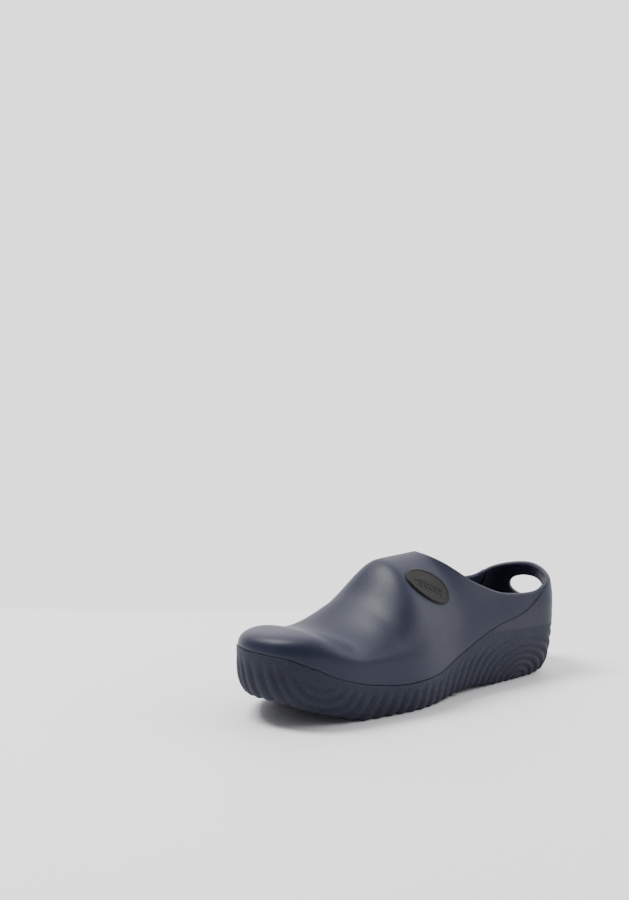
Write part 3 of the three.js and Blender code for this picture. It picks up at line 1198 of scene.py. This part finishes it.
    def _hole(self, sigma: Array, ribbed: Array, inside: Array, block: dict[str, int]) -> list:
        """Return the patch that carries the oval hole through the heel strap.

        Args:
            sigma: Places round the outline.
            ribbed: The outer wall's points.
            inside: The inner wall's points.
            block: The hole's rectangle.

        Returns:
            The patch, in a list.
        """
        chart, last = self.chart, self.last
        total = chart.around[-1] - chart.around[0]
        signed = chart.arc(sigma)
        away = np.where(signed >= 0, signed, signed + total) - chart.around[-1]
        away = np.broadcast_to(away, ribbed.shape[:2])
        in_away = np.broadcast_to(away[0], inside.shape[:2])
        sides = (
            (self._ring(away, block["top"], block), self._ring(ribbed, block["top"], block), 0.0),
            (self._ring(in_away, block["in_top"], block), self._ring(inside, block["in_top"], block),
             self.wall))
        edge, steps, turns = self.hole_edge, 9, 6
        flat = []
        for across, points, depth in sides:
            up = points[:, 2]
            angle = np.unwrap(np.arctan2((up - self.hole_z) / self.hole_half_height,
                                         across / self.hole_half_width))
            if flat:
                angle += 2 * math.pi * round((flat[0][4] - angle).mean() / (2 * math.pi))
            oval_across, oval_up = self._oval(angle, edge)
            share = np.linspace(0, 1, steps)[:, None] ** 0.8
            flat.append((across + (oval_across - across) * share, up + (oval_up - up) * share,
                         np.full((steps, 1), depth), points, angle))
        turn = np.linspace(0, math.pi / 2, turns + 1)[1:, None]
        out_angle, in_angle = flat[0][4], flat[1][4]
        near_a, near_u = self._oval(out_angle[None], edge * (1 - np.sin(turn)))
        far_a, far_u = self._oval(in_angle[None], edge * (1 - np.sin(turn)))
        blend = np.linspace(0, 1, 5)[1:-1, None]
        mid_a, mid_u = self._oval(out_angle + (in_angle - out_angle) * blend, 0.0)
        mid_depth = edge + (self.wall - 2 * edge) * blend
        across = np.concatenate([flat[0][0], near_a, mid_a, far_a[::-1], flat[1][0][::-1]])
        up = np.concatenate([flat[0][1], near_u, mid_u, far_u[::-1], flat[1][1][::-1]])
        depth = np.concatenate([flat[0][2], edge * (1 - np.cos(turn)), mid_depth,
                                self.wall - edge * (1 - np.cos(turn[::-1])), flat[1][2]])
        arc = chart.around[-1] + across
        arc = np.where(arc > chart.around[-1], arc - total, arc)
        place = chart.sigma_at_arc(arc)
        q = chart.q_at_height(place, up)
        points = last.at(place, q, np.broadcast_to(depth, q.shape))
        points[0], points[-1] = flat[0][3], flat[1][3]
        return [grid_patch("hole", points, {"groove": 0.0, "grained": self._grain(points) * (depth <= 0)})]

    def _tread(self, edge: Array, plain: Array, cut: Array, half: int) -> bpy.types.Object:
        """Return the underside, from the outer edge across to the inner edge.

        Args:
            edge: The ribbed edge's points.
            plain: The same points without ribs.
            cut: How deep the ribs are cut at each.
            half: The column of the heel's middle.

        Returns:
            The patch.
        """
        outer, inner = edge[:half + 1], edge[::-1][:half + 1]
        plain_outer, plain_inner = plain[:half + 1], plain[::-1][:half + 1]
        share = np.linspace(0, 1, self.tread_rows + 1)[:, None, None]
        points = plain_outer * (1 - share) + plain_inner * share
        span = np.linalg.norm(plain_outer - plain_inner, axis=-1)[None]
        side = np.minimum(share[..., 0], 1 - share[..., 0])
        reach = side * span
        near = np.where(share[..., 0] < 0.5, cut[:half + 1][None], cut[::-1][:half + 1][None])
        lift = near * (1 - smoothstep(3.0, 8.0, reach))
        x, y = points[..., 0], points[..., 1]
        wave = y / self.tread_pitch + 0.55 * np.sin((x + 8) / 14.0) + 0.25 * np.sin(y / 19.0)
        tread = (0.5 + 0.5 * np.cos(2 * math.pi * wave)) ** 1.5
        waist = 1 - 0.55 * smoothstep(-5, 15, y) * (1 - smoothstep(45, 62, y))
        inner_cut = self.tread_depth * tread * smoothstep(7.0, 10.5, reach) * waist
        points[..., 2] += lift + inner_cut
        points[0], points[-1] = outer, inner
        # How deep each point lies in a tread groove; the sole's material paints shade into the grooves from
        # it.
        groove = np.clip((lift + inner_cut) / self.tread_depth, 0, 1)
        return grid_patch("tread", points, {"groove": groove, "grained": 0.6})

    def _floor(self, edge: Array, half: int) -> bpy.types.Object:
        """Return the seat under the footbed.

        Args:
            edge: The seat's border.
            half: The column of the heel's middle.

        Returns:
            The patch.
        """
        share = np.linspace(0, 1, self.seat_rows + 1)[:, None, None]
        points = edge[:half + 1] * (1 - share) + edge[::-1][:half + 1] * share
        return grid_patch("seat", points, {"groove": 0.0, "grained": 0.0})


@dataclass
class Footbed:
    """The loose footbed: a foam core with a cloth cover."""

    last: Last
    wall: float = 4.5
    gap: float = 0.3
    core: float = 4.5
    cover: float = 1.2
    clearance: Profile = Profile((-135, 0.6), (-40, 0.8), (20, 2.2), (135, 2.6))
    columns: int = 260

    def layer(self, name: str, bottom: float, thick: float, corner: float, tuck: float) -> bpy.types.Object:
        """Build one layer.

        Args:
            name: The piece's name.
            bottom: Height of its underside above the seat.
            thick: Its thickness.
            corner: Radius of its upper edge.
            tuck: How far its lower edge is drawn in.

        Returns:
            The layer as one closed mesh.
        """
        chart = Chart(self.last, self.wall)
        half = self.columns // 2
        outer = chart.sigma_at_arc(np.linspace(0, chart.around[-1], half + 1))
        sigma = np.concatenate([outer, -outer[-2::-1]])
        edge, _ = self.last.outline(sigma)
        gap = self.clearance(edge[:, 1])
        turn = np.linspace(0, math.pi / 2, 6)
        inset = [tuck, tuck * 0.4, 0.0] + list(corner * (1 - np.cos(turn)))
        rise = [0.0, tuck * 0.25, min(tuck, 0.45 * thick)] + list(thick - corner + corner * np.sin(turn))
        rows = []
        for drawn, up in zip(inset, rise):
            level = self.last.seat(edge[:, 1]) + bottom + up
            q = chart.q_at_height(sigma, level)
            row = self.last.at(sigma, q, self.wall + gap + drawn)
            row[:, 2] = self.last.seat(row[:, 1]) + bottom + up
            rows.append(row)
        side = np.array(rows)
        patches = [grid_patch("side", side)]
        share = np.linspace(0, 1, 61)[:, None, None]
        for label, row in (("under", side[0]), ("over", side[-1])):
            points = row[:half + 1] * (1 - share) + row[::-1][:half + 1] * share
            if label == "over":
                self._shape(points, share)
            patches.append(grid_patch(label, points))
        return weld(name, patches, smooth=50.0)

    def _shape(self, points: Array, share: Array) -> None:
        """Dish the heel and the ball of a layer's top and raise its arch a little.

        Args:
            points: The top's points, which are moved.
            share: How far across the layer each row lies.
        """
        side = 2 * share[..., 0] - 1
        bowl = 1 - side ** 2
        y = points[..., 1]
        heel = 0.7 * bowl * smoothstep(20, 70, y) * (1 - smoothstep(112, 130, y))
        ball = 0.5 * bowl * smoothstep(-105, -80, y) * (1 - smoothstep(-55, -25, y))
        arch = 0.5 * bowl ** 2 * smoothstep(-30, 0, y) * (1 - smoothstep(25, 50, y))
        points[..., 2] += arch - heel - ball


@dataclass
class Badge:
    """The oval badge on the outer side of the collar, with a plain sprig in low relief."""

    last: Last
    length: float = 38.5
    width: float = 26.0
    proud: float = 1.6
    sunk: float = 1.2
    raised: float = 0.35
    edge: float = 0.7
    centre: tuple[float, float, float] = (25.0, 7.0, 82.0)
    normal: tuple[float, float, float] = (0.74, 0.08, 0.67)
    along: tuple[float, float, float] = (0.31, 0.82, -0.48)
    rings: int = 46
    spokes: int = 240

    def _axes(self) -> tuple[Array, Array, Array]:
        """Return the badge's unit axes: along, across and out.

        Returns:
            The three axes.
        """
        out = np.array(self.normal) / np.linalg.norm(self.normal)
        along = np.array(self.along) - out * np.dot(self.along, out)
        along = along / np.linalg.norm(along)
        return along, np.cross(out, along), out

    def _onto(self, places: Array, surface: bpy.types.Object) -> Array:
        """Return where lines along the badge's normal meet the upper.

        Args:
            places: Points in the badge's plane.
            surface: The upper.

        Returns:
            The points met.
        """
        out = self._axes()[2]
        hits = []
        for p in places.reshape(-1, 3):
            start = Vector((p + 30 * out) * MM)
            found, where, _, _ = surface.ray_cast(start, Vector(-out))
            hits.append(np.array(where) / MM if found else p)
        return np.array(hits).reshape(places.shape)

    def _sprig(self, u: Array, v: Array) -> Array:
        """Return the raised sprig's height share over the badge's plane.

        Args:
            u: Places along the badge.
            v: Places across it.

        Returns:
            1 on the sprig and 0 off it.
        """
        stem = 1 - smoothstep(0.35, 0.75, abs(v - 0.8 * np.sin(u / 7.0)))
        stem = stem * (1 - smoothstep(12.0, 13.0, abs(u)))
        leaves = np.zeros_like(u)
        for k in range(5):
            foot = -9.5 + 4.4 * k
            for sign in (-1, 1):
                cu, cv = foot + 2.4, sign * 2.7 + 0.8 * math.sin(foot / 7.0)
                lean = math.radians(48) * sign
                a = (u - cu) * math.cos(lean) + (v - cv) * math.sin(lean)
                b = -(u - cu) * math.sin(lean) + (v - cv) * math.cos(lean)
                inside = (a / 2.5) ** 2 + (abs(b) / 0.95) ** 1.6
                leaves = np.maximum(leaves, 1 - smoothstep(0.75, 1.15, inside))
        return np.maximum(stem, leaves)

    def build(self, surface: bpy.types.Object) -> bpy.types.Object:
        """Build the badge over the upper.

        Args:
            surface: The upper, whose curve the badge follows.

        Returns:
            The badge as one closed mesh.
        """
        along, across, out = self._axes()
        angle = np.linspace(0, 2 * math.pi, self.spokes + 1)[None]
        share = np.linspace(0, 1, self.rings)[:, None]
        a, b = self.length / 2, self.width / 2
        edge, raised = self.edge, self.raised
        u = share * (a - edge) * np.cos(angle)
        v = share * (b - edge) * np.sin(angle)
        turn = np.linspace(0, math.pi / 2, 6)[1:, None]
        u_edge = (a - edge + edge * np.sin(turn)) * np.cos(angle)
        v_edge = (b - edge + edge * np.sin(turn)) * np.sin(angle)
        u_all = np.concatenate([u, u_edge, u_edge[-1:], u[::-6]])
        v_all = np.concatenate([v, v_edge, v_edge[-1:], v[::-6]])
        flat = np.array(self.centre) + u_all[..., None] * along + v_all[..., None] * across
        base = self._onto(flat, surface)
        border = np.hypot(u / a, v / b)
        lip = raised * smoothstep(0.86, 0.88, border) * (1 - smoothstep(0.95, 0.97, border))
        face = self.proud - raised + lip + raised * self._sprig(u, v) * (border < 0.85)
        side = (self.proud - raised - edge) + edge * np.cos(turn) * np.ones_like(angle)
        under = np.full((1, angle.shape[1]), -self.sunk)
        back = np.full((len(u[::-6]), angle.shape[1]), -self.sunk)
        height = np.concatenate([face, side, under, back])
        points = base + height[..., None] * out
        return weld("side_badge_skin", [grid_patch("badge_patch", points)])


@dataclass
class Studio:
    """The pale floor, soft lights and the camera."""

    azimuth: float = 49.23
    elevation: float = 14.67
    distance: float = 1.8
    aim_height: float = 0.045
    aim_left: float = 1.992
    aim_down: float = 10.6
    lens: float = 100.6
    floor_far: float = 0.235
    wall_colour: Colour = (2.05, 2.01, 2.10)
    front_colour: Colour = (0.26, 0.26, 0.28)
    bright_right: float = 25.0
    floor_grey: float = 0.94

    def _toward(self) -> Array:
        """Return the unit vector from the clog to the camera."""
        a, e = math.radians(self.azimuth), math.radians(self.elevation)
        return np.array([math.sin(a) * math.cos(e), -math.cos(a) * math.cos(e), math.sin(e)])

    def camera(self) -> None:
        """Place the camera."""
        toward = self._toward()
        place = np.array([0, 0, self.aim_height]) + toward * self.distance
        heading = math.atan2(-toward[1], -toward[0]) + math.radians(self.aim_left)
        deselect()
        bpy.ops.object.camera_add(location=place, rotation=(math.radians(90 - self.aim_down), 0,
                                                            heading - math.pi / 2))
        camera = bpy.context.object
        camera.data.lens = self.lens
        camera.data.sensor_width = 36.0
        camera.data.clip_end = 50.0
        bpy.context.scene.camera = camera

    def _light(self, name: str, place: tuple, aim: tuple, size: tuple[float, float], power: float) -> None:
        """Add a rectangular soft light turned towards a point.

        Args:
            name: The light's name.
            place: Where it stands, in metres.
            aim: The point it faces.
            size: Its width and height in metres.
            power: Its power in watts.
        """
        deselect()
        bpy.ops.object.light_add(type="AREA", location=place)
        light = bpy.context.object
        light.name = name
        light.data.shape = "RECTANGLE"
        light.data.size, light.data.size_y = size
        light.data.energy = power
        light.rotation_euler = (Vector(aim) - Vector(place)).to_track_quat("-Z", "Y").to_euler()

    def lights(self) -> None:
        """Place the soft lights round the view's own direction."""
        toward = self._toward()
        ahead = -toward[:2] / np.linalg.norm(toward[:2])
        right = np.array([ahead[1], -ahead[0]])

        def spot(forward: float, side: float, up: float) -> tuple:
            """Return a point given forward and to the right of the view, and up."""
            return (*(forward * ahead + side * right), up)

        aim = (0.0, 0.0, 0.05)
        self._light("top_left_softbox", spot(0.1, -0.70, 1.5), aim, (0.4, 0.8), 36.0)
        self._light("back_softbox", spot(1.5, 0.3, 1.5), aim, (1.6, 0.8), 3.0)
        self._light("right_softbox", spot(-0.1, 1.6, 1.2), aim, (1.6, 1.4), 14.0)

    def floor(self) -> None:
        """Lay the pale floor, whose far edge melts into the backdrop."""
        toward = self._toward()
        ahead = -toward[:2] / np.linalg.norm(toward[:2])
        right = np.array([ahead[1], -ahead[0]])
        near, wide = 3.2, 3.0
        rows = np.array([-near, -1.0, -0.3, 0.0, self.floor_far])
        sides = np.linspace(-wide, wide, 7)
        points = rows[:, None, None] * ahead + sides[None, :, None] * right
        points = np.concatenate([points, np.zeros((*points.shape[:2], 1))], -1) / MM
        floor = grid_patch("studio_floor", points, {"far": (rows / self.floor_far)[:, None]})
        floor.data.materials.append(self._floor_material())

    def _floor_material(self) -> bpy.types.Material:
        """Return the floor's matt material.

        Returns:
            The material.
        """
        material = bpy.data.materials.new("studio_floor")
        material.use_nodes = True
        material.node_tree.nodes.clear()
        tree = Tree(material.node_tree)
        where = tree.place()
        darker = self.floor_grey - 0.02
        grey = tree.mix(tree.noise(where, 3.0), rgba((self.floor_grey,) * 3), rgba((darker,) * 3))
        shader = tree.add("ShaderNodeBsdfPrincipled", {"Base Color": grey, "Roughness": 0.55})
        clear = tree.add("ShaderNodeBsdfTransparent")
        fade = tree.ramp(tree.field("far"), 0.93, 1.0)
        mixed = tree.add("ShaderNodeMixShader", {0: fade, 1: shader.outputs[0], 2: clear.outputs[0]})
        tree.add("ShaderNodeOutputMaterial", {"Surface": mixed.outputs[0]})
        return material

    def world(self) -> None:
        """Set the pale surroundings."""
        world = bpy.data.worlds.new("studio")
        bpy.context.scene.world = world
        world.use_nodes = True
        world.node_tree.nodes.clear()
        tree = Tree(world.node_tree)
        toward = self._toward()
        turn = math.atan2(-toward[1], -toward[0]) - math.radians(self.bright_right)
        look = tree.add("ShaderNodeTexCoord").outputs["Generated"]
        ahead = tree.add("ShaderNodeVectorMath", {0: look, 1: (math.cos(turn), math.sin(turn), 0.0)},
                         operation="DOT_PRODUCT").outputs["Value"]
        grey = tree.mix(tree.ramp(ahead, -0.35, 0.74), rgba(self.front_colour), rgba(self.wall_colour))
        shader = tree.add("ShaderNodeBackground", {"Color": grey, "Strength": 1.0})
        tree.add("ShaderNodeOutputWorld", {"Surface": shader.outputs[0]})

    def build(self) -> None:
        """Set up the whole studio."""
        self.camera()
        self.world()
        self.lights()
        self.floor()


# ---------------------------------------------------------------- assembly

def dress(piece: bpy.types.Object, material: bpy.types.Material, body: str, slot: str, *nodes: str) -> None:
    """Give a piece its material and body, hide the imported nodes it stands for, and log it.

    Args:
        piece: The finished piece.
        material: Its material.
        body: The body it rides on.
        slot: The record's finish slot; not used.
        nodes: The nodes it stands for.
    """
    piece.data.materials.clear()
    piece.data.materials.append(material)
    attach(piece, body)
    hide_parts(*nodes)
    LOG.info("%s: %d faces on %s", piece.name, len(piece.data.polygons), body)


def main() -> None:
    """Build the clog and its studio."""
    logging.basicConfig(level=logging.INFO, format="%(name)s: %(message)s")
    Studio().build()
    groups = {"grain": grain_group(), "wear": wear_group()}
    last = Last()

    upper = Upper(last).build()
    dress(upper, UPPER_RUBBER.build(groups), "shell", "upper_rubber", "upper_shell")
    badge = Badge(last).build(upper)
    dress(badge, BADGE_RUBBER.build(groups), "shell", "badge", "side_badge")
    sole = SoleUnit(last).build()
    dress(sole, SOLE_RUBBER.build(groups), "shell", "sole_rubber", "sole_unit")

    footbed = Footbed(last)
    core = footbed.layer("footbed_core_skin", footbed.gap, footbed.core, 0.6, 3.0)
    dress(core, FOOTBED_FOAM.build(groups), "footbed", "footbed_foam", "footbed_core")
    cover = footbed.layer("footbed_cover_skin", 2 * footbed.gap + footbed.core, footbed.cover, 0.5, 0.3)
    dress(cover, FOOTBED_CLOTH.build(groups), "footbed", "footbed_cloth", "footbed_cover")


if __name__ == "__main__":
    main()
